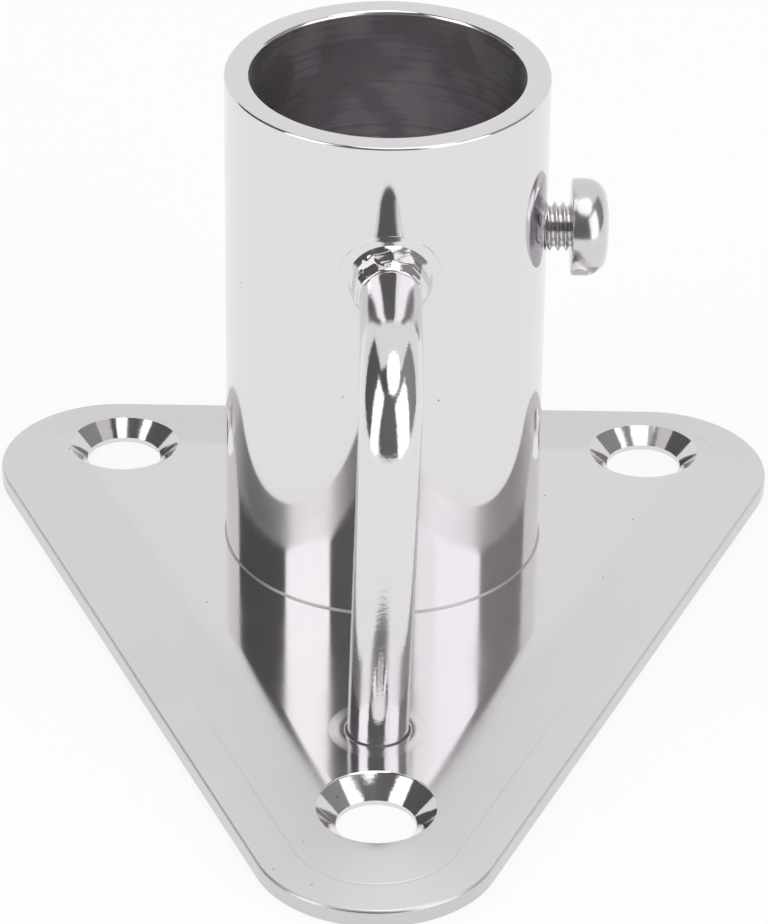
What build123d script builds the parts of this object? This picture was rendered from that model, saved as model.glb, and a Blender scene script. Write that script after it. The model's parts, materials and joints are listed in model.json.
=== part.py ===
from build123d import *
import os
from math import radians, tan

# Flag pole base in polished stainless steel, in millimetres.
# The origin is on the deck face, under the middle of the socket. +Z runs up the socket,
# -Y points to the front corner of the plate and +X to the set screw.

# Socket tube: a thick-walled tube standing on the plate
bore_d = 27.0
tube_wall = 2.5
rim_height = 55.0
rim_inner_chamfer = 0.45
rim_outer_chamfer = 0.3

# Base plate: two back corners and a longer reach to the front corner
plate_thickness = 2.5
corner_radius = 12.0
back_corner_offset = 28.15
back_corner_setback = 13.9
front_corner_reach = 53.3
crown_margin = 9.5
crown_drop = 0.7
edge_break = 0.3
underside_break = 0.2

# Countersunk holes for the deck screws
fixing_hole_d = 7.7
countersink_depth = 2.0
countersink_angle = 90.0
back_hole_offset = 27.5
back_hole_setback = 17.0
front_hole_reach = 49.5

# Halyard rod: leaves the tube level, turns down and stands on the plate.
# It is bent by hand and welded a little out of true, so its arm lies off the middle towards +X.
rod_d = 6.0
rod_reach = 36.5
arm_height = 40.5
bend_radius = 9.0
arm_root_offset = 0.3
arm_bend_offset = 0.9

# Weld beads
foot_bead_leg = 0.25
foot_bead_height = 0.3
rod_bead_leg = 0.35
rod_bead_height = 0.5
rod_bead_fade = 0.05
head_bead_rise = 0.5
head_bead_reach = 3.5
head_bead_flare = 1.7
head_bead_break = 0.2

# Set screw: pan head with a cross recess, standing off the tube as fitted
screw_height = 38.2
thread_d = 4.9
thread_clearance = 0.05
tip_gap = 0.05
tip_chamfer = 0.5
head_standoff = 2.35
head_d = 9.7
head_height = 3.75
head_crown = 0.6
head_corner_round = 2.2
head_under_break = 0.25
recess_span = 4.9
recess_wing = 1.2
recess_depth = 2.3
recess_floor_d = 1.9

# Sizes that follow from the ones above
tube_r = bore_d / 2 + tube_wall
rod_r = rod_d / 2
arm_start = Vector(arm_root_offset, 0, arm_height)
arm_end = Vector(arm_bend_offset, -rod_reach, arm_height)
rod_foot = Vector(0, -rod_reach, plate_thickness)
shank_length = head_standoff + tube_wall - tip_gap


def lifted(solid, x=0.0, y=0.0, z=0.0):
    """Return the solid moved to (x, y, z)."""
    return Pos(x, y, z) * solid


def upright(radius, height, base=0.0):
    """Return a cylinder on the Z axis that stands on the level of its base."""
    return lifted(Cylinder(radius, height, align=(Align.CENTER, Align.CENTER, Align.MIN)), z=base)


def forward(radius, length):
    """Return a cylinder on the arm's axis that runs from the middle of the tube to the front."""
    return Plane(origin=arm_start, z_dir=arm_end - arm_start) * upright(radius, length)


def fixing_places():
    """Return the plan position of each deck screw, the front one first."""
    front = (0, -front_hole_reach)
    back = [(side * back_hole_offset, back_hole_setback) for side in (-1, 1)]
    return [front, *back]


def countersunk_cutter():
    """Return the cutter for one hole, with the deck face at z = 0."""
    hole_r = fixing_hole_d / 2
    mouth_r = hole_r + countersink_depth * tan(radians(countersink_angle / 2))
    land = upright(hole_r, plate_thickness)
    cone = Cone(hole_r, mouth_r, countersink_depth, align=(Align.CENTER, Align.CENTER, Align.MAX))
    return land + lifted(cone, z=plate_thickness)


def base_plate():
    """Return the deck plate with its crowned margin and countersunk holes."""
    corners = [
        (0, -front_corner_reach),
        (back_corner_offset, back_corner_setback),
        (-back_corner_offset, back_corner_setback),
    ]
    outline = offset(make_face(Polyline(*corners, close=True)), corner_radius, kind=Kind.ARC)
    plate = extrude(outline, plate_thickness)

    top = plate.faces().sort_by(Axis.Z)[-1]
    plate = chamfer(top.edges(), crown_margin, crown_drop, reference=top)
    shoulder = plate_thickness - crown_drop
    plate = chamfer(plate.edges().filter_by_position(Axis.Z, shoulder, shoulder), edge_break)
    plate = chamfer(plate.faces().sort_by(Axis.Z)[0].edges(), underside_break)

    for x, y in fixing_places():
        plate -= lifted(countersunk_cutter(), x, y)
    return plate


def screw_plane():
    """Return the plane under the screw's head, facing outwards along the screw's axis."""
    return Plane(origin=(tube_r + head_standoff, 0, screw_height), z_dir=(1, 0, 0))


def socket_tube():
    """Return the pole socket with its chamfered rim and the hole for the set screw."""
    height = rim_height - plate_thickness
    tube = upright(tube_r, height, plate_thickness)
    tube -= upright(bore_d / 2, height, plate_thickness)
    rim_in, rim_out = tube.faces().sort_by(Axis.Z)[-1].edges().sort_by(SortBy.RADIUS)
    tube = chamfer(rim_in, rim_inner_chamfer)
    tube = chamfer(rim_out, rim_outer_chamfer)
    hole = upright(thread_d / 2 + thread_clearance, tube_r + head_standoff, -tube_r - head_standoff)
    return tube - screw_plane() * hole


def bead_cone(toe_r, top_r, height):
    """Return the full sloping cone of a weld bead, standing on the plate at the origin."""
    cone = Cone(toe_r, top_r, height, align=(Align.CENTER, Align.CENTER, Align.MIN))
    return lifted(cone, z=plate_thickness)


def tube_weld():
    """Return the weld bead round the foot of the socket tube."""
    bead = bead_cone(tube_r + foot_bead_leg, tube_r, foot_bead_height)
    return bead - upright(tube_r, rim_height)


def halyard_rod():
    """Return the bent rod, coped to the wall of the tube and cut level where it stands."""
    below_plate = rod_foot + (rod_foot - arm_end).normalized() * plate_thickness
    path = FilletPolyline(arm_start, arm_end, below_plate, radius=bend_radius)
    section = Plane(origin=path @ 0, x_dir=(0, 0, -1), z_dir=path % 0) * Circle(rod_r)
    rod = sweep(section, path)
    rod = split(rod, Plane.XY.offset(plate_thickness), keep=Keep.TOP)
    return rod - upright(tube_r, rim_height)


def rod_head_weld():
    """Return the weld ring on the arm, with its flare onto the wall of the tube."""
    tube = upright(tube_r, rim_height)
    collar = forward(rod_r + head_bead_rise, tube_r + head_bead_reach)
    toe = collar.edges().sort_by(Axis.Y)[0]
    collar = chamfer(toe, head_bead_break)
    joint = tube + collar
    joint = chamfer(new_edges(tube, collar, combined=joint), head_bead_flare)
    return joint - tube - forward(rod_r, rod_reach)


def rod_foot_weld():
    """Return the weld bead round the foot of the leaning halyard rod."""
    bead = bead_cone(rod_r + rod_bead_leg, rod_r + rod_bead_fade, rod_bead_height)
    return lifted(bead, y=-rod_reach) - halyard_rod()


def cross_recess():
    """Return the cutter for the driver recess, with the head's underside at z = 0."""
    taper = Cone(
        recess_floor_d / 2,
        recess_span / 2,
        recess_depth,
        align=(Align.CENTER, Align.CENTER, Align.MAX),
    )
    wings = Box(recess_span, recess_wing, 2 * recess_depth)
    wings += Box(recess_wing, recess_span, 2 * recess_depth)
    return lifted(taper & wings, z=head_height)


def pan_head():
    """Return the screw's head, turned from one section, with its underside at z = 0."""
    radius = head_d / 2
    dome_r = (radius**2 + head_crown**2) / 2 / head_crown
    shoulder = (radius, head_height - head_crown)
    outline = Polyline((0, head_height), (0, 0), (radius, 0), shoulder)
    outline += RadiusArc(shoulder, (0, head_height), dome_r)
    section = make_face(outline)
    outer = section.vertices().filter_by_position(Axis.X, radius, radius).sort_by(Axis.Y)
    section = fillet(outer[-1], head_corner_round)
    outer = section.vertices().filter_by_position(Axis.Y, 0, 0).sort_by(Axis.X)
    section = chamfer(outer[-1], head_under_break)
    return revolve(Plane.XZ * section, Axis.Z)


def set_screw():
    """Return the pan-head set screw as fitted, its tip just short of the bore."""
    shank = upright(thread_d / 2, shank_length, -shank_length)
    shank = chamfer(shank.faces().sort_by(Axis.Z)[0].edges(), tip_chamfer)
    return screw_plane() * (pan_head() + shank - cross_recess())


PIECES = {
    "base_plate": base_plate,
    "socket_tube": socket_tube,
    "tube_weld": tube_weld,
    "halyard_rod": halyard_rod,
    "rod_head_weld": rod_head_weld,
    "rod_foot_weld": rod_foot_weld,
    "set_screw": set_screw,
}


def main():
    """Build every piece and write it to the parts folder."""
    os.makedirs("parts", exist_ok=True)
    for name, build in PIECES.items():
        export_step(build(), f"parts/{name}.step")


main()
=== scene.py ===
"""Looks of a polished stainless flag pole base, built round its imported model.

Meshes are shaped in millimetres and turned to metres when they are published. The origin is on
the deck face under the middle of the socket, +Z runs up the socket and -Y points to the front.
"""

import json
import logging
import math
from dataclasses import dataclass, field
from enum import Enum
from typing import Iterable, Sequence

import bmesh
import bpy
from mathutils import Matrix, Vector, noise


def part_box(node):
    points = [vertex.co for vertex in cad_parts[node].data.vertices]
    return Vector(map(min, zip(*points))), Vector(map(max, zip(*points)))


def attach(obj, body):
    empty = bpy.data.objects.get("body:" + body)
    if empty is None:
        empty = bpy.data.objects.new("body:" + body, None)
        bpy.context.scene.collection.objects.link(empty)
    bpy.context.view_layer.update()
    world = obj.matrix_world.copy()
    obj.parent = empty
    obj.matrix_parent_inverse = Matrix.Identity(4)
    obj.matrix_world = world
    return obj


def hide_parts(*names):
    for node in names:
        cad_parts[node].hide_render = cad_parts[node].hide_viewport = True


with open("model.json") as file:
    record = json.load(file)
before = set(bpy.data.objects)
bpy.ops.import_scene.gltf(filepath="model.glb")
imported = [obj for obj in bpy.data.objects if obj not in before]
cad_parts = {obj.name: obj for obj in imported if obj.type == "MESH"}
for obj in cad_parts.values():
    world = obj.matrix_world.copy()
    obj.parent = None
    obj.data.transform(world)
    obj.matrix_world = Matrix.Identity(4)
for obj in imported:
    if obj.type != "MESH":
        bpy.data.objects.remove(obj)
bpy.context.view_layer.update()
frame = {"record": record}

LOG = logging.getLogger("flag_pole_base")
MM = 0.001
FULL_TURN = 2 * math.pi
THREAD_CLEARANCE = 0.05

Shape = bmesh.types.BMesh
Tree = bpy.types.NodeTree
Socket = bpy.types.NodeSocket
Material = bpy.types.Material
Piece = bpy.types.Object
Edges = list[bmesh.types.BMEdge]
Place = tuple[float, float]
Section = Sequence[Place]
NodeLinks = dict[str, Socket]


class Body(Enum):
    """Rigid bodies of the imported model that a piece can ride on."""

    BASE = "base"
    SCREW = "set_screw"


class Slot(Enum):
    """Material slots of the record, which the pieces here don't use."""

    POLISHED = "polished_stainless"
    SCREW = "screw_stainless"


class Axis(Enum):
    """Directions that turned sections are set along, as the turn from +Z."""

    UP = Matrix.Identity(3)
    RIGHT = Matrix.Rotation(math.radians(90), 3, "Y")
    FRONT = Matrix.Rotation(math.radians(90), 3, "X")


def linear(code: str) -> tuple[float, float, float, float]:
    """Turn an sRGB hex colour into Blender's linear colour.

    Args:
        code: six hex digits, such as "DCDADC".

    Returns:
        Red, green, blue and an alpha of one.
    """
    parts = [int(code[i : i + 2], 16) / 255 for i in (0, 2, 4)]
    red, green, blue = (c / 12.92 if c <= 0.04045 else ((c + 0.055) / 1.055) ** 2.4 for c in parts)
    return red, green, blue, 1.0


def add_node(
    tree: Tree,
    kind: str,
    settings: dict[str, object] | None = None,
    inputs: dict[str | int, object] | None = None,
) -> bpy.types.Node:
    """Add a shader node with its settings, values and links.

    Args:
        tree: the node tree that takes the node.
        kind: the node's type, without the ShaderNode in front.
        settings: properties of the node itself.
        inputs: a value, or an output socket to link, for each named or numbered input.

    Returns:
        The new node.
    """
    node = tree.nodes.new("ShaderNode" + kind)
    for name, value in (settings or {}).items():
        setattr(node, name, value)
    for name, value in (inputs or {}).items():
        if isinstance(value, Socket):
            tree.links.new(value, node.inputs[name])
        else:
            node.inputs[name].default_value = value
    return node


def worked(tree: Tree, value: Socket, steps: Sequence[tuple[str, float | Socket]]) -> Socket:
    """Work a value through sums, one after another.

    Args:
        tree: the node tree that takes the sums.
        value: the value to start from.
        steps: each sum's operation and its second value.

    Returns:
        The value after the last sum.
    """
    for operation, other in steps:
        value = add_node(tree, "Math", {"operation": operation}, {0: value, 1: other}).outputs[0]
    return value


def box_mm(node: str) -> tuple[Vector, Vector]:
    """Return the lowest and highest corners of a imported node, in millimetres."""
    low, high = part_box(node)
    return low / MM, high / MM


def arc(centre: Place, radius: float, start: float, end: float, steps: int) -> list[Place]:
    """Return the points of an arc in a section.

    Args:
        centre: radius and height of the arc's centre.
        radius: radius of the arc.
        start: angle of the first point above the level, in degrees.
        end: angle of the last point.
        steps: straight runs in the arc.

    Returns:
        The radius and height of each point.
    """
    angles = [math.radians(start + (end - start) * step / steps) for step in range(steps + 1)]
    return [(centre[0] + radius * math.cos(a), centre[1] + radius * math.sin(a)) for a in angles]


def turned(section: Section, steps: int) -> Shape:
    """Turn a closed section of radius and height points about the Z axis.

    Args:
        section: radius and height of each point, in millimetres.
        steps: facets in the full turn.

    Returns:
        The turned shape, with its doubles merged and its faces pointing outwards.
    """
    bm = bmesh.new()
    points = [bm.verts.new((radius, 0, height)) for radius, height in section]
    for start, end in zip(points, points[1:] + points[:1]):
        bm.edges.new((start, end))
    bmesh.ops.spin(
        bm,
        geom=bm.verts[:] + bm.edges[:],
        cent=(0, 0, 0),
        axis=(0, 0, 1),
        angle=FULL_TURN,
        steps=steps,
        use_merge=True,
    )
    bmesh.ops.remove_doubles(bm, verts=bm.verts, dist=1e-5)
    bmesh.ops.recalc_face_normals(bm, faces=bm.faces)
    return bm


def place(bm: Shape, axis: Axis, at: Sequence[float]) -> Shape:
    """Point a shape's Z axis along another direction and move its origin.

    Args:
        bm: the shape, which is changed.
        axis: the new direction of its Z axis.
        at: the new place of its origin.

    Returns:
        The same shape.
    """
    bmesh.ops.transform(bm, matrix=Matrix.Translation(at) @ axis.value.to_4x4(), verts=bm.verts)
    return bm


def cut(body: Shape, tools: Iterable[Shape]) -> Shape:
    """Take solid tools away from a solid body.

    Args:
        body: the shape that is cut, which is freed.
        tools: the cutters, which are freed.

    Returns:
        The cut shape.
    """
    holder = loose_object("cut_body", body)
    for number, tool in enumerate(tools):
        cutter = loose_object(f"cut_tool_{number}", tool)
        modifier = holder.modifiers.new("cut", "BOOLEAN")
        modifier.operation = "DIFFERENCE"
        modifier.solver = "EXACT"
        modifier.object = cutter
    bpy.context.view_layer.update()
    graph = bpy.context.evaluated_depsgraph_get()
    result = bmesh.new()
    result.from_mesh(holder.evaluated_get(graph).data)
    for cutter in [m.object for m in holder.modifiers]:
        bpy.data.objects.remove(cutter)
    bpy.data.objects.remove(holder)
    return result


def loose_object(name: str, bm: Shape) -> Piece:
    """Write a shape to a new object in the scene.

    Args:
        name: name of the object and its mesh.
        bm: the shape, which is freed.

    Returns:
        The object.
    """
    mesh = bpy.data.meshes.new(name)
    bm.to_mesh(mesh)
    bm.free()
    made = bpy.data.objects.new(name, mesh)
    bpy.context.scene.collection.objects.link(made)
    return made


@dataclass(frozen=True)
class Stainless:
    """Stainless steel, buffed or turned, as one procedural metal.

    The colour is the neutral grey of the alloy, a touch pink against white. Haze is the slow change
    in gloss that a buffing wheel leaves, grain is the fine lines of the tool or the polishing
    belt, and ripple is the orange peel that breaks up the edges of what the metal mirrors.

    Attributes:
        name: name of the material.
        colour: sRGB hex colour of the metal.
        roughness: roughness between the hazy places.
        haze: roughness that the haziest places add.
        haze_size: width of a hazy place, in millimetres.
        grain_pitch: line spacing of the grain along each axis, in millimetres.
        grain_depth: height of the grain, in micrometres.
        ripple_size: width of one ripple, in millimetres.
        ripple_depth: height of the ripples, in micrometres.
        pit_spacing: distance between the rare tiny pits in the metal, in millimetres.
        pit_size: radius of the largest pits, in millimetres.
        pit_colour: sRGB hex colour of the pits.
    """

    name: str
    colour: str = "E1DFE1"
    roughness: float = 0.05
    haze: float = 0.05
    haze_size: float = 9.0
    grain_pitch: tuple[float, float, float] = (0.4, 0.4, 12.0)
    grain_depth: float = 0.3
    ripple_size: float = 0.8
    ripple_depth: float = 0.3
    pit_spacing: float = 4.0
    pit_size: float = 0.1
    pit_colour: str = "8C8A8C"

    def coordinates(self, tree: Tree) -> Socket:
        """Return the object's own coordinates, in metres."""
        return add_node(tree, "TexCoord").outputs["Object"]

    def grain(self, tree: Tree, point: Socket) -> Socket:
        """Add the lines of the grain.

        Args:
            tree: the material's node tree.
            point: the object's coordinates.

        Returns:
            The height of the grain, from zero to one.
        """
        stretch = [1 / pitch for pitch in self.grain_pitch]
        lines = add_node(tree, "Mapping", inputs={"Vector": point, "Scale": stretch})
        return self.speckle(tree, lines.outputs["Vector"], 1.0, 3.0)

    def speckle(self, tree: Tree, point: Socket, size: float, detail: float) -> Socket:
        """Add a cloudy noise.

        Args:
            tree: the material's node tree.
            point: the coordinates that the noise is taken at.
            size: width of one cloud, in millimetres.
            detail: number of finer layers in it.

        Returns:
            The value of the noise, from zero to one.
        """
        inputs = {"Vector": point, "Scale": 1 / (MM * size), "Detail": detail, "Roughness": 0.55}
        return add_node(tree, "TexNoise", inputs=inputs).outputs["Fac"]

    def relief(self, tree: Tree, height: Socket, depth: float, under: NodeLinks) -> NodeLinks:
        """Add a bump of a real depth over another.

        Args:
            tree: the material's node tree.
            height: the height, from zero to one.
            depth: the depth that one stands for, in micrometres.
            under: the normal that the bump starts from, or nothing.

        Returns:
            The normal after the bump, ready to go into the next node.
        """
        inputs = {"Height": height, "Distance": depth * MM * MM, "Strength": 1.0, **under}
        return {"Normal": add_node(tree, "Bump", inputs=inputs).outputs["Normal"]}

    def form(self, tree: Tree, point: Socket, gloss: Socket) -> tuple[NodeLinks, Socket]:
        """Return the normal of the broad form under the finer relief, and the roughness there."""
        return {}, gloss

    def metal(self, tree: Tree, point: Socket) -> Socket:
        """Add the colour of the metal with its rare pits.

        Args:
            tree: the material's node tree.
            point: the object's coordinates.

        Returns:
            The colour.
        """
        cells = {"Vector": point, "Scale": 1 / (MM * self.pit_spacing)}
        away = add_node(tree, "TexVoronoi", inputs=cells).outputs["Distance"]
        sound = worked(tree, away, [("GREATER_THAN", self.pit_size / self.pit_spacing)])
        colours = {0: sound, 6: linear(self.pit_colour), 7: linear(self.colour)}
        return add_node(tree, "Mix", {"data_type": "RGBA"}, colours).outputs[2]

    def build(self) -> Material:
        """Build the material.

        Returns:
            The material with its node tree.
        """
        material = bpy.data.materials.new(self.name)
        material.use_nodes = True
        tree = material.node_tree
        tree.nodes.clear()
        point = self.coordinates(tree)
        # The middle of the noise's range is spread over the whole change in gloss.
        cloud = self.speckle(tree, point, self.haze_size, 4.0)
        spread = {"Value": cloud, "From Min": 0.35, "From Max": 0.7}
        spread.update({"To Min": self.roughness, "To Max": self.roughness + self.haze})
        gloss = add_node(tree, "MapRange", inputs=spread).outputs["Result"]
        broad, rough = self.form(tree, point, gloss)
        ripple = self.speckle(tree, point, self.ripple_size, 2.0)
        normal = self.relief(tree, ripple, self.ripple_depth, broad)
        normal = self.relief(tree, self.grain(tree, point), self.grain_depth, normal)
        shader = add_node(
            tree,
            "BsdfPrincipled",
            inputs={
                "Base Color": self.metal(tree, point),
                "Metallic": 1.0,
                "Roughness": rough,
                **normal,
            },
        )
        add_node(tree, "OutputMaterial", inputs={"Surface": shader.outputs["BSDF"]})
        return material


@dataclass(frozen=True)
class RoundTurned(Stainless):
    """Stainless steel with tool marks that run round one or more upright axes.

    Attributes:
        centres: plan places of the axes, in millimetres.
        feed: spacing of the tool marks, in millimetres.
        patch: length over which a mark comes and goes, in millimetres.
        mark_highlight_colour: sRGB hex colour painted along the marks as their highlight.
    """

    centres: tuple[Place, ...] = ((0.0, 0.0),)
    feed: float = 0.22
    patch: float = 2.0
    mark_highlight_colour: str = "E1DFE1"

    def grain(self, tree: Tree, point: Socket) -> Socket:
        """Add rings round the nearest axis that also climb along it.

        Args:
            tree: the material's node tree.
            point: the object's coordinates.

        Returns:
            The height of the tool marks, from zero to one.
        """
        parts = add_node(tree, "SeparateXYZ", inputs={"Vector": point}).outputs
        flat = add_node(tree, "CombineXYZ", inputs={"X": parts["X"], "Y": parts["Y"]}).outputs[0]
        distances = []
        for x, y in self.centres:
            ends = {0: flat, 1: (x * MM, y * MM, 0.0)}
            away = add_node(tree, "VectorMath", {"operation": "DISTANCE"}, ends)
            distances.append(away.outputs["Value"])
        nearest = worked(tree, distances[0], [("MINIMUM", away) for away in distances[1:]])
        climb = worked(tree, nearest, [("SUBTRACT", parts["Z"])])
        line = {"W": climb, "Scale": 1 / (MM * self.feed), "Detail": 2.0, "Roughness": 0.6}
        marks = add_node(tree, "TexNoise", {"noise_dimensions": "1D"}, line).outputs["Fac"]
        # A mark is only there where the cloud is thick.
        cloud = self.speckle(tree, point, self.patch, 1.0)
        patches = worked(tree, cloud, [("SUBTRACT", 0.35), ("MULTIPLY", 3), ("MAXIMUM", 0)])
        return worked(tree, marks, [("MULTIPLY", patches)])

    def metal(self, tree: Tree, point: Socket) -> Socket:
        """Add the colour of the metal, with a painted highlight along its tool marks.

        Args:
            tree: the material's node tree.
            point: the object's coordinates.

        Returns:
            The colour.
        """
        under = super().metal(tree, point)
        # A weak mark keeps the metal's own colour, and a strong one takes the painted highlight.
        share = worked(tree, self.grain(tree, point), [("SUBTRACT", 0.15), ("MULTIPLY", 4)])
        colours = {0: share, 6: under, 7: linear(self.mark_highlight_colour)}
        return add_node(tree, "Mix", {"data_type": "RGBA"}, colours).outputs[2]


@dataclass(frozen=True)
class MarginBuffed(Stainless):
    """Stainless steel plate that the buffing wheel has rounded off towards its outline.

    The outline is a triangle of corner centres, grown all round by the corners' radius.

    Attributes:
        corners: plan places of the corner centres, anticlockwise, in millimetres.
        corner_r: radius of the corners, in millimetres.
        buffed_from: distance inside the outline where the rounding starts, in millimetres.
        buffed_over: distance over which it grows to its full tilt, in millimetres.
        buffed_tilt: full tilt that it adds, in degrees.
        line_inset: distance inside the outline of the fine line left by the press, in millimetres.
        line_width: half the width of that line, in millimetres.
        line_depth: depth of that line, in millimetres.
        margin_haze: roughness that the margin has more than the middle.
    """

    corners: tuple[Place, ...] = ()
    corner_r: float = 12.0
    buffed_from: float = 11.2
    buffed_over: float = 2.6
    buffed_tilt: float = 9.0
    line_inset: float = 3.9
    line_width: float = 0.16
    line_depth: float = 0.022
    margin_haze: float = 0.3

    def beyond_core(self, tree: Tree, point: Socket) -> Socket:
        """Add the distance outside the triangle of the corner centres.

        Args:
            tree: the material's node tree.
            point: the object's coordinates.

        Returns:
            The distance in millimetres, and zero inside the triangle.
        """
        grow = {0: point, 1: (1 / MM, 1 / MM, 0.0)}
        flat = add_node(tree, "VectorMath", {"operation": "MULTIPLY"}, grow).outputs[0]
        distances, sides = [], []
        for start, end in zip(self.corners, self.corners[1:] + self.corners[:1]):
            side = Vector((*end, 0)) - Vector((*start, 0))
            outward = Vector((side.y, -side.x, 0)).normalized()
            arm = {0: flat, 1: (*start, 0.0)}
            arm = add_node(tree, "VectorMath", {"operation": "SUBTRACT"}, arm).outputs[0]
            dot = {"operation": "DOT_PRODUCT"}
            along = add_node(tree, "VectorMath", dot, {0: arm, 1: side}).outputs["Value"]
            within = [("DIVIDE", side.length_squared), ("MAXIMUM", 0), ("MINIMUM", 1)]
            scaled = {0: side, "Scale": worked(tree, along, within)}
            foot = add_node(tree, "VectorMath", {"operation": "SCALE"}, scaled).outputs[0]
            away = add_node(tree, "VectorMath", {"operation": "DISTANCE"}, {0: arm, 1: foot})
            distances.append(away.outputs["Value"])
            past = add_node(tree, "VectorMath", dot, {0: arm, 1: outward})
            sides.append(past.outputs["Value"])
        outside = worked(tree, sides[0], [("MAXIMUM", side) for side in sides[1:]])
        outside = worked(tree, outside, [("GREATER_THAN", 0)])
        nearest = [("MINIMUM", away) for away in distances[1:]]
        return worked(tree, distances[0], [*nearest, ("MULTIPLY", outside)])

    def form(self, tree: Tree, point: Socket, gloss: Socket) -> tuple[NodeLinks, Socket]:
        """Add the rounding of the margin, the fine line in it and its duller polish.

        Args:
            tree: the material's node tree.
            point: the object's coordinates.
            gloss: the roughness of the middle.

        Returns:
            The normal of the buffed margin, and the roughness of the whole.
        """
        away = self.beyond_core(tree, point)
        slope = math.tan(math.radians(self.buffed_tilt))
        past = [("SUBTRACT", self.corner_r - self.buffed_from), ("MAXIMUM", 0)]
        past = worked(tree, away, past)
        share = worked(tree, past, [("MULTIPLY", 1 / self.buffed_over), ("MINIMUM", 1)])
        # The rounding is a parabola that runs out into a straight slope.
        bent = [("POWER", 2), ("MULTIPLY", -slope * self.buffed_over / 2)]
        straight = [("SUBTRACT", self.buffed_over), ("MAXIMUM", 0), ("MULTIPLY", -slope)]
        groove = [
            ("SUBTRACT", self.corner_r - self.line_inset),
            ("ABSOLUTE", 0),
            ("MULTIPLY", -1 / self.line_width),
            ("ADD", 1),
            ("MAXIMUM", 0),
            ("MULTIPLY", -self.line_depth),
        ]
        parts = [("ADD", worked(tree, past, straight)), ("ADD", worked(tree, away, groove))]
        height = worked(tree, worked(tree, share, bent), parts)
        rough = worked(tree, share, [("MULTIPLY", self.margin_haze), ("ADD", gloss)])
        return self.relief(tree, height, 1 / MM, {}), rough


class Finishes:
    """The finishes of the object's surfaces, each built once."""

    def __init__(self, hole_places: tuple[Place, ...], corners: tuple[Place, ...]) -> None:
        """Build every material.

        Args:
            hole_places: plan places of the countersunk holes, in millimetres.
            corners: plan places of the plate's corner centres, in millimetres.
        """
        # The tube mirrors the room almost sharply.
        self.tube = Stainless("buffed_stainless_tube").build()
        # The rod was buffed by hand, so it is softer and carries deeper marks of the wheel.
        self.rod = Stainless(
            "buffed_stainless_rod",
            roughness=0.09,
            haze=0.08,
            grain_pitch=(0.45, 0.3, 0.3),
            grain_depth=12.0,
            ripple_size=0.5,
            ripple_depth=1.0,
        ).build()
        # The plate was buffed flat and falls off to its margin, so it blurs what stands on it
        # more than the tube does and bends it inwards towards the front corner.
        self.plate = MarginBuffed(
            "buffed_stainless_plate",
            roughness=0.08,
            haze=0.06,
            grain_pitch=(6.0, 0.3, 0.3),
            grain_depth=0.35,
            ripple_size=0.7,
            ripple_depth=0.7,
            corners=corners,
        ).build()
        # The bore keeps the rings of the boring tool, with a painted highlight along them against its
        # duller wall.
        self.bore = RoundTurned(
            "bored_stainless",
            colour="DEDCDE",
            mark_highlight_colour="FFFEFF",
            roughness=0.2,
            haze=0.08,
            grain_depth=1.6,
            feed=0.5,
            patch=5.0,
            ripple_depth=0.2,
            pit_size=0.0,
        ).build()
        # The countersinks keep the rings of the cutter.
        self.countersink = RoundTurned(
            "countersunk_stainless",
            roughness=0.07,
            haze=0.05,
            grain_depth=14.0,
            feed=0.3,
            ripple_size=0.3,
            ripple_depth=3.0,
            centres=hole_places,
        ).build()
        # The weld is dressed by hand, so it glints in small flats.
        self.weld = Stainless(
            "dressed_stainless_weld", roughness=0.09, ripple_size=0.4, ripple_depth=5.0
        ).build()
        # The foot beads are polished down with the plate.
        self.bead = Stainless(
            "polished_stainless_bead", roughness=0.16, ripple_size=0.4, ripple_depth=0.8
        ).build()
        # The thin seam of the socket's foot was left dull, so it draws a soft grey line.
        self.seam = Stainless(
            "dull_stainless_seam", colour="C4C2C4", roughness=0.42, pit_size=0.0
        ).build()
        # The crevice at the rod's foot is coloured dark: painted shade where the groove hides the
        # light.
        self.crevice = Stainless(
            "crevice_painted_shade", colour="6C6A6C", roughness=0.45, pit_size=0.0
        ).build()
        # The plate's wall keeps the duller face of the cut.
        self.wall = Stainless(
            "cut_stainless_wall", colour="D0CED0", roughness=0.2, grain_pitch=(0.3, 0.3, 6.0)
        ).build()
        # The screw is rolled and tumbled, so it is a little softer than the buffed base.
        self.screw = Stainless(
            "tumbled_stainless_screw",
            colour="D6D4D6",
            roughness=0.15,
            haze=0.08,
            haze_size=3.0,
            ripple_size=0.4,
            ripple_depth=1.5,
        ).build()


def publish(
    name: str,
    bm: Shape,
    finishes: Sequence[Material],
    body: Body,
    stands_for: str,
    crease: float = 35.0,
) -> Piece:
    """Make a finished piece of a shape and fix it to the frame.

    Args:
        name: name of the new piece.
        bm: its shape in millimetres, which is freed.
        finishes: its materials, in the order of the faces' material numbers.
        body: the body that it rides on.
        stands_for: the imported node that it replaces.
        crease: angle between two faces above which their edge stays sharp, in degrees.

    Returns:
        The new piece.
    """
    bmesh.ops.scale(bm, vec=(MM, MM, MM), verts=bm.verts)
    for face in bm.faces:
        face.smooth = True
    for edge in bm.edges:
        edge.smooth = edge.calc_face_angle(0.0) < math.radians(crease)
    piece = loose_object(name, bm)
    for material in finishes:
        piece.data.materials.append(material)
    weights = piece.modifiers.new("flat_faces_stay_flat", "WEIGHTED_NORMAL")
    weights.keep_sharp = True
    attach(piece, body.value)
    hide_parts(stands_for)
    LOG.info("%s: %d faces, rides on %s", name, len(piece.data.polygons), body.value)
    return piece


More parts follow.
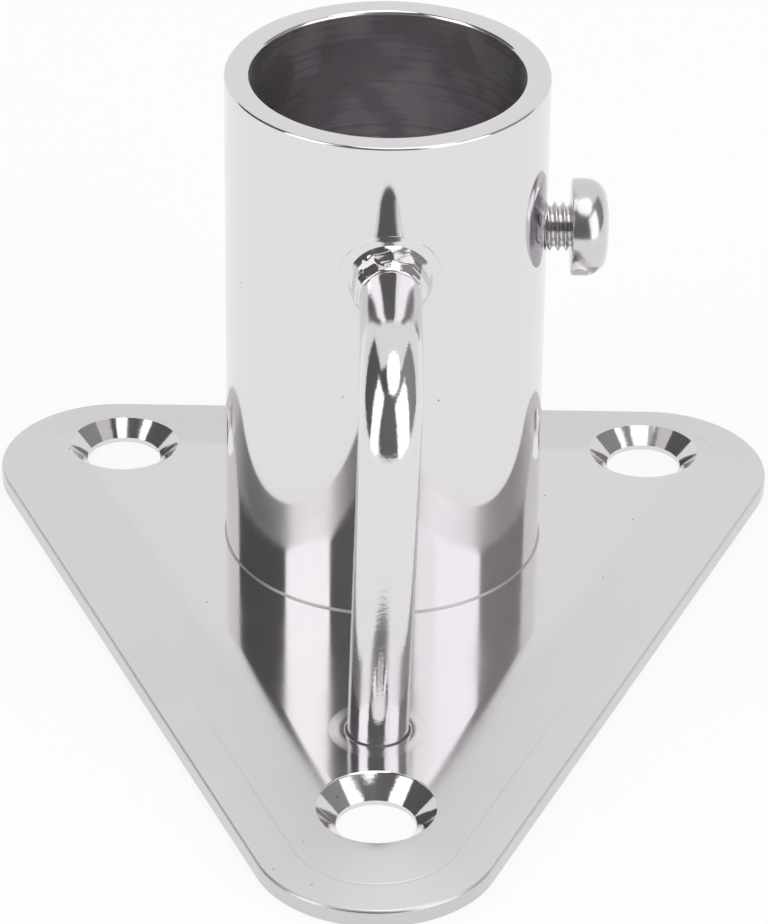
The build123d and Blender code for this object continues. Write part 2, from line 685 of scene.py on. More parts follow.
@dataclass
class DeckPlate:
    """The three-cornered deck plate with its crowned margin and countersunk holes.

    Attributes:
        low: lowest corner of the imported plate, in millimetres.
        high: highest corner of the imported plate, in millimetres.
        hole_places: plan places of the deck screws, in millimetres.
        hole_r: radius of the deck screws' holes.
        corner_r: radius of the plate's corners in plan.
        corner_steps: facets in each corner.
        margin: width of the crowned margin.
        drop: height that the margin falls by.
        soft: half the width over which the flat turns into the margin.
        ring_width: distance between the rings of the margin's mesh.
        shoulder_r: radius of the rounding between the margin and the wall.
        shoulder_steps: facets across that rounding.
        underside_break: size of the broken lower edge.
        underside_steps: facets across it.
        countersink_depth: depth of the countersinks.
        mouth_break: size of the broken edge round each countersink.
        hole_steps: facets round each hole.
    """

    low: Vector
    high: Vector
    hole_places: tuple[Place, ...]
    hole_r: float
    corner_r: float = 12.0
    corner_steps: int = 64
    margin: float = 9.5
    drop: float = 0.7
    soft: float = 1.8
    ring_width: float = 0.38
    shoulder_r: float = 0.32
    shoulder_steps: int = 8
    underside_break: float = 0.2
    underside_steps: int = 2
    countersink_depth: float = 2.0
    mouth_break: float = 0.1
    hole_steps: int = 160

    def corner_centres(self) -> list[Vector]:
        """Work out the plan of the corners.

        Returns:
            The centre of each corner, anticlockwise from the front one.
        """
        back = self.high.y - self.corner_r
        side = self.high.x - self.corner_r
        return [Vector((0, self.low.y + self.corner_r)), Vector((side, back)), Vector((-side, back))]

    def outline(self) -> list[Vector]:
        """Lay out the plate's outline.

        Returns:
            Its points, anticlockwise, with each corner as an arc.
        """
        centres = self.corner_centres()
        points = []
        for number, centre in enumerate(centres):
            arrive = centre - centres[number - 1]
            leave = centres[(number + 1) % len(centres)] - centre
            start = math.atan2(-arrive.x, arrive.y)
            turn = arrive.angle_signed(leave) * -1
            for step in range(self.corner_steps + 1):
                angle = start + turn * step / self.corner_steps
                arm = Vector((math.cos(angle), math.sin(angle)))
                points.append(centre + self.corner_r * arm)
        return points

    def level(self, inset: float) -> float:
        """Return the height of the upper face.

        Args:
            inset: distance inside the outline, in millimetres.

        Returns:
            The height, which turns smoothly from the flat into the margin.
        """
        past = self.margin - inset
        if past < self.soft:
            past = max(past + self.soft, 0.0) ** 2 / 4 / self.soft
        return self.high.z - self.drop / self.margin * past

    def slab(self) -> Shape:
        """Build the plate without its holes.

        Returns:
            The slab with its crowned margin and rounded edges.
        """
        bm = bmesh.new()
        ring = [bm.verts.new((point.x, point.y, 0)) for point in self.outline()]
        floor = bm.faces.new(ring)
        shoulder = self.level(0.0)
        grown = bmesh.ops.extrude_face_region(bm, geom=[floor], use_keep_orig=True)["geom"]
        lifted = [part for part in grown if isinstance(part, bmesh.types.BMVert)]
        bmesh.ops.translate(bm, vec=(0, 0, shoulder), verts=lifted)
        bmesh.ops.recalc_face_normals(bm, faces=bm.faces)
        top = max(bm.faces, key=lambda face: face.calc_center_median().z)
        rings = round((self.margin + self.soft) / self.ring_width)
        for number in range(rings):
            start, end = (self.ring_width * count for count in (number, number + 1))
            bmesh.ops.inset_region(
                bm,
                faces=[top],
                thickness=end - start,
                depth=self.level(end) - self.level(start),
                use_even_offset=True,
            )
        slope = math.atan2(self.drop, self.margin)
        reach = self.shoulder_r * math.tan((math.pi / 2 - slope) / 2)
        self.round_rim(bm, shoulder, reach, self.shoulder_steps)
        self.round_rim(bm, 0.0, self.underside_break, self.underside_steps)
        return bm

    def round_rim(self, bm: Shape, level: float, reach: float, segments: int) -> None:
        """Bevel the edges that run round the plate at one level.

        Args:
            bm: the slab, which is changed.
            level: height of the edges.
            reach: distance from the edges at which the bevel starts.
            segments: facets across the bevel.
        """
        rim = [e for e in bm.edges if all(abs(v.co.z - level) < 1e-4 for v in e.verts)]
        bmesh.ops.bevel(
            bm,
            geom=rim,
            offset=reach,
            offset_type="OFFSET",
            affect="EDGES",
            segments=segments,
            profile=0.5,
            material=-1,
            clamp_overlap=True,
        )

    def countersink(self, at: Place) -> Shape:
        """Build the cutter of one countersunk hole.

        Args:
            at: the hole's plan place.

        Returns:
            The cutter, a little longer than the plate is thick.
        """
        top = self.high.z
        mouth_r = self.hole_r + self.countersink_depth
        brim = self.mouth_break
        past = 1.0
        section = [
            (0, -past),
            (self.hole_r, -past),
            (self.hole_r, top - self.countersink_depth),
            (mouth_r - brim, top - brim),
            (mouth_r + brim, top),
            (mouth_r + brim, top + past),
            (0, top + past),
        ]
        return place(turned(section, self.hole_steps), Axis.UP, (*at, 0))

    def build(self, looks: Finishes) -> Piece:
        """Build the finished plate.

        Args:
            looks: the finishes.

        Returns:
            The piece.
        """
        bm = cut(self.slab(), [self.countersink(at) for at in self.hole_places])
        reach = self.hole_r + self.countersink_depth + 2 * self.mouth_break
        for face in bm.faces:
            centre = face.calc_center_median()
            near = min((centre.xy - Vector(at)).length for at in self.hole_places)
            # A sloping face near a hole is its countersink, and any other steep one the wall.
            if near < reach and abs(face.normal.z) < 0.95:
                face.material_index = 1
            elif abs(face.normal.z) < 0.5:
                face.material_index = 2
        finishes = (looks.plate, looks.countersink, looks.wall)
        return publish("deck_plate", bm, finishes, Body.BASE, "base_plate")


@dataclass
class PoleSocket:
    """The socket tube with its chamfered rim and the tapped hole for the set screw.

    Attributes:
        low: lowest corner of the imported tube, in millimetres.
        high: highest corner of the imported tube, in millimetres.
        bore_r: radius of the bore.
        screw_z: height of the set screw's axis.
        screw_hole_r: radius of its hole.
        rim_inner: size of the rounded edge of the rim towards the bore.
        rim_outer: size of the rounded edge of the rim towards the outside.
        rim_steps: facets across each rounded edge.
        steps: facets round the tube.
        hole_steps: facets round the set screw's hole.
    """

    low: Vector
    high: Vector
    bore_r: float
    screw_z: float
    screw_hole_r: float
    rim_inner: float = 0.45
    rim_outer: float = 0.3
    rim_steps: int = 6
    steps: int = 512
    hole_steps: int = 96

    def build(self, looks: Finishes) -> Piece:
        """Build the finished tube.

        Args:
            looks: the finishes.

        Returns:
            The piece.
        """
        outer, top, foot = self.high.x, self.high.z, self.low.z
        inner_edge = (self.bore_r + self.rim_inner, top - self.rim_inner)
        outer_edge = (outer - self.rim_outer, top - self.rim_outer)
        section = [
            (self.bore_r, foot),
            *arc(inner_edge, self.rim_inner, 180, 90, self.rim_steps),
            *arc(outer_edge, self.rim_outer, 90, 0, self.rim_steps),
            (outer, foot),
        ]
        hole_r, past = self.screw_hole_r, 2 * outer
        hole = turned([(0, 0), (hole_r, 0), (hole_r, past), (0, past)], self.hole_steps)
        drill = place(hole, Axis.RIGHT, (0, 0, self.screw_z))
        bm = cut(turned(section, self.steps), [drill])
        # The finish of the bore runs up to the middle of the rim's inner edge.
        for face in bm.faces:
            radius = face.calc_center_median().xy.length
            inside = radius < self.bore_r + 0.5 * self.rim_inner and abs(face.normal.z) < 0.5
            face.material_index = int(inside)
        return publish(
            "pole_socket", bm, (looks.tube, looks.bore), Body.BASE, "socket_tube"
        )


@dataclass
class HalyardRod:
    """The bent rod in front of the socket, which leans a little to the right at its bend.

    Attributes:
        low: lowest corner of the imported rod, in millimetres.
        high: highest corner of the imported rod, in millimetres.
        tube_r: outer radius of the socket that the rod meets.
        rod_r: radius of the rod.
        bend_r: radius of the bend, on the rod's axis.
        root_offset: distance of the arm's axis to the right, at the middle of the socket.
        bend_offset: distance of the arm's axis to the right, at the bend.
        steps: facets round the rod.
        bend_steps: rings along the bend.
        embed: depth that each end goes into what carries it.
    """

    low: Vector
    high: Vector
    tube_r: float
    rod_r: float = 3.0
    bend_r: float = 9.0
    root_offset: float = 0.3
    bend_offset: float = 0.9
    steps: int = 128
    bend_steps: int = 72
    embed: float = 0.6

    @property
    def arm_z(self) -> float:
        """Return the height of the arm's axis."""
        return self.high.z - self.rod_r

    @property
    def reach(self) -> float:
        """Return the distance of the upright stretch in front of the tube's axis."""
        return -self.low.y - self.rod_r

    @property
    def wall_offset(self) -> float:
        """Return the distance of the arm's axis to the right, where it leaves the socket."""
        share = self.tube_r / self.reach
        return self.root_offset + (self.bend_offset - self.root_offset) * share

    def build(self, looks: Finishes) -> Piece:
        """Build the finished rod.

        Args:
            looks: the finishes.

        Returns:
            The piece.
        """
        root = Vector((self.root_offset, 0, self.arm_z))
        corner = Vector((self.bend_offset, -self.reach, self.arm_z))
        foot = Vector((0, -self.reach, self.low.z))
        out = (corner - root).normalized()
        down = (foot - corner).normalized()
        start = root + out * (self.tube_r - self.embed)
        half_turn = out.angle(down) / 2
        bend_start = corner - out * self.bend_r * math.tan(half_turn)
        inward = (down - out * out.dot(down)).normalized()

        bm = bmesh.new()
        turn = Matrix.Translation(start) @ out.to_track_quat("Z", "Y").to_matrix().to_4x4()
        ring = bmesh.ops.create_circle(
            bm, cap_ends=False, radius=self.rod_r, segments=self.steps, matrix=turn
        )["verts"]
        edges = list({edge for vert in ring for edge in vert.link_edges})
        edges = self.run(bm, edges, bend_start - start)
        bent = bmesh.ops.spin(
            bm,
            geom=edges,
            cent=bend_start + inward * self.bend_r,
            axis=out.cross(inward),
            angle=2 * half_turn,
            steps=self.bend_steps,
        )["geom_last"]
        edges = [part for part in bent if isinstance(part, bmesh.types.BMEdge)]
        bend_end = corner + down * self.bend_r * math.tan(half_turn)
        self.run(bm, edges, foot - bend_end)
        bmesh.ops.holes_fill(bm, edges=[e for e in bm.edges if e.is_boundary], sides=0)
        bmesh.ops.recalc_face_normals(bm, faces=bm.faces)
        return publish(
            "halyard_guide_rod", bm, (looks.rod,), Body.BASE, "halyard_rod"
        )

    def run(self, bm: Shape, edges: Edges, along: Vector) -> Edges:
        """Extrude a ring of edges in a straight run.

        Args:
            bm: the rod so far, which is changed.
            edges: the ring at its end.
            along: length and direction of the run.

        Returns:
            The edges of the ring at the new end.
        """
        grown = bmesh.ops.extrude_edge_only(bm, edges=edges)["geom"]
        verts = [part for part in grown if isinstance(part, bmesh.types.BMVert)]
        bmesh.ops.translate(bm, vec=along, verts=verts)
        return [part for part in grown if isinstance(part, bmesh.types.BMEdge)]


@dataclass
class HeadWeld:
    """The weld that carries the arm on the socket, dabbed by hand over a flat polished ring.

    Attributes:
        tube_r: outer radius of the socket.
        arm_x: distance of the arm's axis to the right, where it leaves the socket.
        arm_z: height of the arm's axis.
        rod_r: radius of the rod.
        ring_r: radius of the polished ring on the socket's wall.
        bead_r: radius of the bead round the rod.
        reach: distance that the bead runs along the rod.
        dab: width of one dressed flat of the weld.
        dab_stretch: share of a flat's width to its length along the rod.
        dab_lean: largest lean of a flat round the rod, in degrees.
        embed: depth that the ring goes into the socket's wall.
        steps: facets round the rod.
        cuts: rings added between two points of the section.
        smoothings: times that the edges of the flats are smoothed.
    """

    tube_r: float
    arm_x: float
    arm_z: float
    rod_r: float
    ring_r: float = 5.05
    bead_r: float = 3.75
    reach: float = 3.3
    dab: float = 2.3
    dab_stretch: float = 0.35
    dab_lean: float = 14.0
    embed: float = 0.5
    steps: int = 256
    cuts: int = 3
    smoothings: int = 4

    def section(self) -> list[Place]:
        """Lay out the section of the polished ring and of the bead that runs out on the rod.

        Returns:
            The radius round the rod and the height off the wall of each point.
        """
        inside = self.rod_r - 0.3
        return [
            (inside, -self.embed),
            (self.ring_r, -self.embed),
            (self.ring_r, 0.0),
            (self.ring_r - 0.02, 0.08),
            (self.ring_r - 0.5, 0.1),
            (self.ring_r - 0.95, 0.18),
            (self.bead_r + 0.2, 0.5),
            (self.bead_r + 0.04, 0.8),
            (self.bead_r, 1.2),
            (self.bead_r, 1.7),
            (self.bead_r - 0.04, 2.1),
            (self.bead_r - 0.14, 2.5),
            (self.rod_r + 0.36, 2.85),
            (self.rod_r + 0.14, self.reach - 0.08),
            (self.rod_r - 0.02, self.reach),
            (inside, self.reach),
        ]

    def build(self, looks: Finishes) -> Piece:
        """Build the finished weld.

        Args:
            looks: the finishes.

        Returns:
            The piece.
        """
        bm = turned(self.section(), self.steps)
        along = [e for e in bm.edges if abs(e.verts[0].co.z - e.verts[1].co.z) > 0.01]
        bmesh.ops.subdivide_edges(bm, edges=along, cuts=self.cuts, use_grid_fill=True)
        for vert in bm.verts:
            self.dress(vert)
        bead = [v for v in bm.verts if v.co.z > 0.3 and v.co.xy.length > self.rod_r]
        for _ in range(self.smoothings):
            bmesh.ops.smooth_vert(
                bm, verts=bead, factor=0.5, use_axis_x=True, use_axis_y=True, use_axis_z=True
            )
        place(bm, Axis.FRONT, (self.arm_x, 0, self.arm_z))
        for vert in bm.verts:
            vert.co.y -= math.sqrt(max(self.tube_r**2 - vert.co.x**2, 0.0))
        return publish(
            "dressed_head_weld", bm, (looks.weld,), Body.BASE, "rod_head_weld"
        )

    def dress(self, vert: bmesh.types.BMVert) -> None:
        """Press one point of the bead down to the flat of the dab that it belongs to.

        Args:
            vert: the point, with the rod along +Z.
        """
        height = vert.co.z
        away = vert.co.xy.length
        # The flats start above the ring and run out before the end of the bead.
        rise = max(0.0, min(1.0, (height - 0.2) / 0.5))
        fade = max(0.0, min(1.0, (self.reach - height) / 0.4))
        if away <= self.rod_r or rise * fade == 0.0:
            return
        cell = Vector((vert.co.x, vert.co.y, height * self.dab_stretch)) / self.dab
        mark = noise.voronoi(cell, distance_metric="DISTANCE")[1][0]
        lean = math.radians(self.dab_lean) * noise.noise(mark * 5.3) * 2
        turn = cell.xy.angle_signed(mark.xy) + lean
        half_flat = self.dab / 2 / self.bead_r
        flat = away * math.cos(half_flat) / max(math.cos(turn), 0.5)
        pressed = min(flat, away) * rise * fade + away * (1 - rise * fade)
        vert.co.xy *= max(pressed, self.rod_r + 0.03) / away


# Each profile runs outwards as the distance from the upright and the height on the plate. The
# socket has a thin seam; the rod has a fine crevice with a low polished swelling round it.
SEAM_PROFILE = ((-0.1, 0.2), (0.0, 0.2), (0.03, 0.14), (0.08, 0.06), (0.16, 0.0))
HALO_PROFILE = (
    (-0.1, 0.16),
    (0.0, 0.16),
    (0.06, 0.08),
    (0.2, 0.0),
    (0.32, 0.014),
    (0.5, 0.028),
    (0.8, 0.025),
    (1.15, 0.012),
    (1.5, 0.004),
    (1.8, 0.0),
)


@dataclass
class FootBead:
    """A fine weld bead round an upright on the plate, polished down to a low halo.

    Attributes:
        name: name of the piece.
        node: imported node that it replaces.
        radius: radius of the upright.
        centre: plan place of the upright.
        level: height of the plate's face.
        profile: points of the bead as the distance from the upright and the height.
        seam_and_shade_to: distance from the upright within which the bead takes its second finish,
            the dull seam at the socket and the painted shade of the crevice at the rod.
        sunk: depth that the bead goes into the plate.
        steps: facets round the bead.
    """

    name: str
    node: str
    radius: float
    centre: Place
    level: float
    profile: tuple[Place, ...]
    seam_and_shade_to: float = 0.2
    sunk: float = 0.05
    steps: int = 256

    def build(self, finishes: Sequence[Material]) -> Piece:
        """Build the finished bead.

        Args:
            finishes: the finish of the polished bead and of its inner ring, a dull seam at the socket
                and painted crevice shade at the rod.

        Returns:
            The piece.
        """
        inner, outer = self.profile[0][0], self.profile[-1][0]
        section = [(self.radius + away, height) for away, height in self.profile]
        section += [(self.radius + outer, -self.sunk), (self.radius + inner, -self.sunk)]
        bm = place(turned(section, self.steps), Axis.UP, (*self.centre, self.level))
        # Faces next to the upright take the inner finish, which at the rod is painted crevice shade.
        for face in bm.faces:
            away = (face.calc_center_median().xy - Vector(self.centre)).length - self.radius
            face.material_index = int(away < self.seam_and_shade_to)
        return publish(
            self.name, bm, finishes, Body.BASE, self.node, crease=60.0
        )


@dataclass
class SetScrew:
    """The pan-head set screw with its rolled thread and cross recess.

    Attributes:
        low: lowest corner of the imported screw, in millimetres.
        high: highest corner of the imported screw, in millimetres.
        shank: length of the shank below the head.
        head_height: height of the head.
        head_crown: height of the head's domed face.
        head_round: radius of the head's outer edge.
        head_break: size of its broken lower edge.
        thread_r: outer radius of the thread.
        thread_depth: depth of the thread.
        pitch: distance from one thread crest to the next.
        recess_span: width of the cross recess.
        recess_wing: width of one wing of the recess.
        recess_depth: depth of the recess.
        recess_turn: turn of the recess about the screw's axis, in degrees.
        land: width of the thread's root, along the axis.
        flank: width of each flank of the thread.
        crest: width of its crest.
        steps: facets round the head.
        thread_steps: facets in one turn of the thread.
        round_steps: facets across the head's rounded edge.
        dome_steps: facets from there to the middle of the head.
    """

    low: Vector
    high: Vector
    shank: float = 4.8
    head_height: float = 3.75
    head_crown: float = 0.6
    head_round: float = 2.2
    head_break: float = 0.25
    thread_r: float = 2.45
    thread_depth: float = 0.45
    pitch: float = 0.8
    recess_span: float = 4.9
    recess_wing: float = 1.2
    recess_depth: float = 2.3
    recess_turn: float = 20.0
    land: float = 0.1
    flank: float = 0.26
    crest: float = 0.1
    steps: int = 128
    thread_steps: int = 64
    round_steps: int = 16
    dome_steps: int = 6

    @property
    def head_r(self) -> float:
        """Return the head's radius."""
        return (self.high.z - self.low.z) / 2

    @property
    def axis_z(self) -> float:
        """Return the height of the screw's axis."""
        return (self.high.z + self.low.z) / 2

    def head(self) -> Shape:
        """Build the head, with its underside at zero.

        Returns:
            The head with its cross recess.
        """
        dome_r = (self.head_r**2 + self.head_crown**2) / 2 / self.head_crown
        round_r = self.head_r - self.head_round
        reach = dome_r - self.head_round
        dome_z = self.head_height - dome_r
        turn = math.acos(round_r / reach)
        round_at = (round_r, dome_z + reach * math.sin(turn))
        turn = math.degrees(turn)
        under, middle = self.head_break, 0.28 * self.head_break
        # The head is broken under its edge, rounded above it and domed across the top.
        section = [(0, 0), (self.head_r - under, 0), (self.head_r - middle, middle)]
        section.append((self.head_r, under))
        section += arc(round_at, self.head_round, 0, turn, self.round_steps)
        section += arc((0, dome_z), dome_r, turn, 90, self.dome_steps)[1:]
        return cut(turned(section, self.steps), self.recess())

    def recess(self) -> list[Shape]:
        """Build the cutters of the recess.

        Returns:
            Two crossing bars that taper towards the recess's floor.
        """
        # Each bar narrows from its upper end, a little above the head, to the recess's floor.
        above = 0.5
        upper = Vector((1.12 * self.recess_span, 1.03 * self.recess_wing, above))
        floor = Vector((0.4 * self.recess_span, 0.8 * self.recess_wing, -self.recess_depth))
        wings = []
        for quarter in range(2):
            bm = bmesh.new()
            bmesh.ops.create_cube(bm, size=1.0)
            for vert in bm.verts:
                end = floor if vert.co.z < 0 else upper
                vert.co = (vert.co.x * end.x, vert.co.y * end.y, self.head_height + end.z)
            turn = Matrix.Rotation(math.radians(90 * quarter + self.recess_turn), 3, "Z")
            bmesh.ops.rotate(bm, verts=bm.verts, cent=(0, 0, 0), matrix=turn)
            wings.append(bm)
        return wings

    def thread(self) -> Shape:
        """Build the threaded shank as one helix below the head, closed at both ends.

        Returns:
            The shank, its upper end just inside the head.
        """
        turns = math.ceil(self.shank / self.pitch) + 2
        root = self.thread_r - self.thread_depth
        crest_from = self.land + self.flank
        crest_to = crest_from + self.crest
        section = [(root, 0.0), (root, self.land)]
        section += [(self.thread_r, crest_from), (self.thread_r, crest_to)]
        section += [(root, crest_to + self.flank), (root, self.pitch)]
        bm = bmesh.new()
        points = [bm.verts.new((radius, 0, up)) for radius, up in section]
        for start, end in zip(points, points[1:]):
            bm.edges.new((start, end))
        bmesh.ops.spin(
            bm,
            geom=bm.verts[:] + bm.edges[:],
            cent=(0, 0, 0),
            axis=(0, 0, 1),
            dvec=(0, 0, self.pitch / self.thread_steps),
            angle=FULL_TURN * turns,
            steps=self.thread_steps * turns,
        )
        bmesh.ops.translate(bm, vec=(0, 0, -self.pitch * turns), verts=bm.verts)
        bmesh.ops.remove_doubles(bm, verts=bm.verts, dist=1e-4)
        into_head = 0.15
        for level, side in ((into_head, 1), (-self.shank, -1)):
            self.trim(bm, level, side)
        bmesh.ops.recalc_face_normals(bm, faces=bm.faces)
        return bm

    def trim(self, bm: Shape, level: float, side: int) -> None:
        """Cut a shape off at one level and close it there.

        Args:
            bm: the shape, which is changed.
            level: height of the cut.
            side: 1 to take away what is above it, and -1 what is below.
        """
        geometry = bm.verts[:] + bm.edges[:] + bm.faces[:]
        made = bmesh.ops.bisect_plane(
            bm, geom=geometry, plane_co=(0, 0, level), plane_no=(0, 0, side), clear_outer=True
        )["geom_cut"]
        rim = [part for part in made if isinstance(part, bmesh.types.BMEdge)]
        bmesh.ops.holes_fill(bm, edges=rim, sides=0)

    def build(self, looks: Finishes) -> Piece:
        """Build the finished screw.

        Args:
            looks: the finishes.

        Returns:
            The piece.
        """
        bm = self.head()
        shank = bpy.data.meshes.new("shank")
        thread = self.thread()
        thread.to_mesh(shank)
        thread.free()
        bm.from_mesh(shank)
        bpy.data.meshes.remove(shank)
        place(bm, Axis.RIGHT, (self.low.x + self.shank, 0, self.axis_z))
        return publish(
            "pan_head_set_screw", bm, (looks.screw,), Body.SCREW, "set_screw"
        )


@dataclass
class Panel:
    """A lamp or a dark card that stands round the object, facing it.

    Attributes:
        name: name of the panel.
        azimuth: direction from the object in degrees, with 0 towards the camera and + to the right.
        elevation: height of its middle above the horizon, in degrees.
        width: width that it spans, in degrees.
        height: height that it spans, in degrees.
        glow: brightness where one is white, and zero for a card.
        colour: sRGB hex colour of a card.
        distance: distance from the object, in metres.
        oval: whether a lamp is an oval, not a rectangle.
        roll: turn about the line to the object, in degrees.
    """

    name: str
    azimuth: float
    elevation: float
    width: float
    height: float
    glow: float = 0.0
    colour: str = "000000"
    distance: float = 0.9
    oval: bool = False
    roll: float = 0.0

    def matrix(self) -> Matrix:
        """Work out the place of the panel.

        Returns:
            The place, with the panel's -Z axis pointing at the object.
        """
        turn = Matrix.Rotation(math.radians(self.azimuth), 4, "Z")
        tilt = Matrix.Rotation(math.radians(90 - self.elevation), 4, "X")
        roll = Matrix.Rotation(math.radians(self.roll), 4, "Z")
        return turn @ tilt @ Matrix.Translation((0, 0, self.distance)) @ roll

    def sides(self) -> tuple[float, float]:
        """Return the panel's width and height, in metres."""
        return tuple(
            2 * self.distance * math.tan(math.radians(span) / 2) for span in (self.width, self.height)
        )


@dataclass
class Studio:
    """The table, the soft boxes and dark cards round it, and the camera.

    Attributes:
        floor_size: side of the table, in metres.
        floor_colour: sRGB hex colour of the table.
        floor_glow: share of the table's white that the camera and the metal see without shade.
        backdrop: sRGB hex colour of the world.
        camera_at: place of the camera, in metres.
        camera_forward: direction that the camera looks in.
        camera_roll: roll of the camera, in degrees.
        lens: focal length, in millimetres.
        panels: the soft boxes and cards.
    """

    floor_size: float = 12.0
    floor_colour: str = "DEDDDE"
    floor_glow: float = 0.84
    backdrop: str = "F3F2F3"
    camera_at: tuple[float, float, float] = (0.001736, -0.440025, 0.277207)
    camera_forward: tuple[float, float, float] = (-0.003163, 0.855241, -0.518221)
    camera_roll: float = 0.7412
    lens: float = 196.48
    panels: list[Panel] = field(
        default_factory=lambda: [
            Panel("soft_box_left", -56, 26, 31, 52, glow=1.45),
            Panel("soft_box_right", 50.5, 25, 45, 50, glow=1.22),
            Panel("soft_box_top", 29, 74.6, 42, 40, glow=1.45, oval=True),
            Panel("card_front", 0, 30, 72, 62, colour="757475", distance=1.2),
            Panel("card_left", -82, 28, 74, 58, colour="646364", distance=1.2, roll=20),
            Panel("card_right", 80, 28, 72, 58, colour="9E9D9E", distance=1.2, roll=-20),
            Panel("card_above", 0, 48, 140, 74, colour="5E5C5E", distance=1.5),
        ]
    )

    def build(self) -> None:
        """Build the table, the world, the panels and the camera."""
        self.floor()
        self.world()
        for panel in self.panels:
            if panel.glow > 0:
                self.soft_box(panel)
            else:
                self.card(panel)
        self.camera()

    def floor(self) -> None:
        """Lay the pale table top."""
        bm = bmesh.new()
        bmesh.ops.create_grid(bm, x_segments=1, y_segments=1, size=self.floor_size / 2)
        top = loose_object("table_top", bm)
        top.data.materials.append(self.table())

    def table(self) -> Material:
        """Build the table's matt white, which looks white and still keeps a shadow.

        Returns:
            The material.
        """
        material = self.matt("matt_white_laminate", self.floor_colour)
        tree = material.node_tree
        shade = tree.nodes["Diffuse BSDF"].outputs["BSDF"]
        rays = add_node(tree, "LightPath").outputs
        seen = [("MAXIMUM", rays["Is Glossy Ray"]), ("MULTIPLY", self.floor_glow)]
        share = worked(tree, rays["Is Camera Ray"], seen)
        white = add_node(tree, "Emission", inputs={"Color": linear("FFFFFF"), "Strength": 1.0})
        mixed = {0: share, 1: shade, 2: white.outputs[0]}
        mixed = add_node(tree, "MixShader", inputs=mixed).outputs[0]
        tree.links.new(mixed, tree.nodes["Material Output"].inputs["Surface"])
        return material

    def matt(self, name: str, colour: str) -> Material:
        """Build a matt material.

        Args:
            name: name of the material.
            colour: its sRGB hex colour.

        Returns:
            The material.
        """
        material = bpy.data.materials.new(name)
        material.use_nodes = True
        tree = material.node_tree
        tree.nodes.clear()
        shader = add_node(tree, "BsdfDiffuse", inputs={"Color": linear(colour)})
        add_node(tree, "OutputMaterial", inputs={"Surface": shader.outputs["BSDF"]})
        return material

    def world(self) -> None:
        """Light the room with an even pale world."""
        world = bpy.data.worlds.new("pale_room")
        world.use_nodes = True
        world.node_tree.nodes["Background"].inputs["Color"].default_value = linear(self.backdrop)
        bpy.context.scene.world = world

    def soft_box(self, panel: Panel) -> None:
        """Hang a soft box of an even glow, which the camera doesn't see.

        Args:
            panel: its place, size and glow.
        """
        lamp = bpy.data.lights.new(panel.name, "AREA")
        lamp.shape = "ELLIPSE" if panel.oval else "RECTANGLE"
        lamp.size, lamp.size_y = panel.sides()
        fill = math.pi / 4 if panel.oval else 1.0
        lamp.energy = panel.glow * math.pi * lamp.size * lamp.size_y * fill
        hung = bpy.data.objects.new(panel.name, lamp)
        hung.matrix_world = panel.matrix()
        hung.visible_camera = False
        bpy.context.scene.collection.objects.link(hung)

    def card(self, panel: Panel) -> None:
        """Stand up a dark card that only the metal sees.

        Args:
            panel: its place, size and colour.
        """
        bm = bmesh.new()
        bmesh.ops.create_grid(bm, x_segments=1, y_segments=1, size=0.5)
        width, height = panel.sides()
        bmesh.ops.scale(bm, vec=(width, height, 1), verts=bm.verts)
        bmesh.ops.transform(bm, matrix=panel.matrix(), verts=bm.verts)
        stood = loose_object(panel.name, bm)
        stood.data.materials.append(self.matt("grey_" + panel.name, panel.colour))
        stood.visible_camera = False
        stood.visible_diffuse = False
        stood.visible_shadow = False

    def camera(self) -> None:
        """Set up the camera at the photograph's viewing angle."""
        lens = bpy.data.cameras.new("camera")
        lens.lens = self.lens
        eye = bpy.data.objects.new("camera", lens)
        forward = Vector(self.camera_forward).normalized()
        right = forward.cross(Vector((0, 0, 1))).normalized()
        up = right.cross(forward)
        roll = math.radians(self.camera_roll)
        side = math.cos(roll) * right + math.sin(roll) * up
        top = math.cos(roll) * up - math.sin(roll) * right
        eye.matrix_world = Matrix.Translation(self.camera_at) @ Matrix(
            (side, top, -forward)
        ).transposed().to_4x4()
        bpy.context.scene.collection.objects.link(eye)
        bpy.context.scene.camera = eye


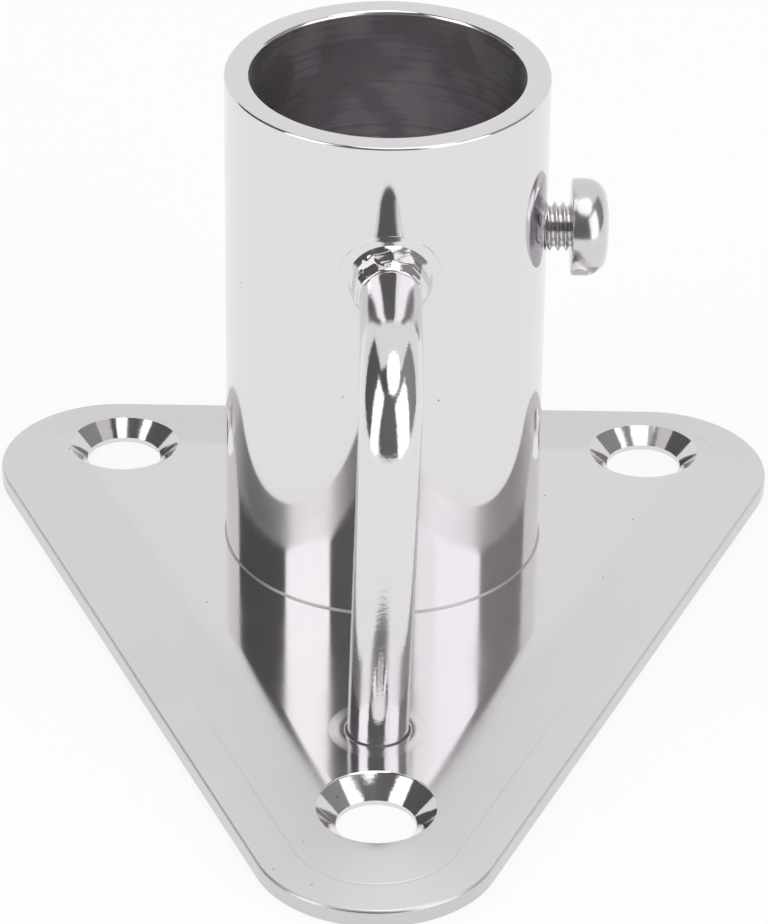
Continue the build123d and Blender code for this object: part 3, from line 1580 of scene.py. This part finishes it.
def mount(name: str) -> dict:
    """Return one of the record's mounts by its name."""
    return next(entry for entry in frame["record"]["mounts"] if entry["name"] == name)


def hole_places() -> tuple[Place, ...]:
    """Read where the deck screws go from the record's mounts.

    Returns:
        The plan place of each in millimetres, the front one first.
    """
    front = mount("front_deck_hole")["pos_m"]
    back = mount("back_deck_holes")
    half = back["dims"]["spacing_x_mm"] / 2
    back_y = back["pos_m"][1] / MM
    return (front[0] / MM, front[1] / MM), (half, back_y), (-half, back_y)


def main() -> None:
    """Build every piece and the studio round them."""
    logging.basicConfig(level=logging.INFO, format="%(name)s: %(message)s")
    scene = bpy.context.scene
    scene.view_settings.view_transform = "Standard"
    # A ray crosses the mirrored bore many times before it finds the light.
    scene.cycles.max_bounces = 16
    scene.cycles.glossy_bounces = 16

    plate_low, plate_high = box_mm("base_plate")
    tube_low, tube_high = box_mm("socket_tube")
    rod_low, rod_high = box_mm("halyard_rod")
    screw_low, screw_high = box_mm("set_screw")
    holes = hole_places()
    bore_r = mount("socket_bore")["dims"]["r_mm"]

    plate = DeckPlate(plate_low, plate_high, holes, mount("front_deck_hole")["dims"]["r_mm"])
    looks = Finishes(holes, tuple(tuple(centre) for centre in plate.corner_centres()))
    plate.build(looks)
    screw = SetScrew(screw_low, screw_high)
    screw.build(looks)
    hole_r = screw.thread_r + THREAD_CLEARANCE
    PoleSocket(tube_low, tube_high, bore_r, screw.axis_z, hole_r).build(looks)
    rod = HalyardRod(rod_low, rod_high, tube_high.x)
    rod.build(looks)
    HeadWeld(tube_high.x, rod.wall_offset, rod.arm_z, rod.rod_r).build(looks)
    level = plate_high.z
    seam = FootBead("socket_foot_bead", "tube_weld", tube_high.x, (0, 0), level, SEAM_PROFILE)
    seam.build((looks.bead, looks.seam))
    rod_at = (0, -rod.reach)
    halo = FootBead("rod_foot_bead", "rod_foot_weld", rod.rod_r, rod_at, level, HALO_PROFILE)
    # The rod's crevice takes the dark painted-shade finish.
    halo.build((looks.bead, looks.crevice))
    Studio().build()


if __name__ == "__main__":
    main()
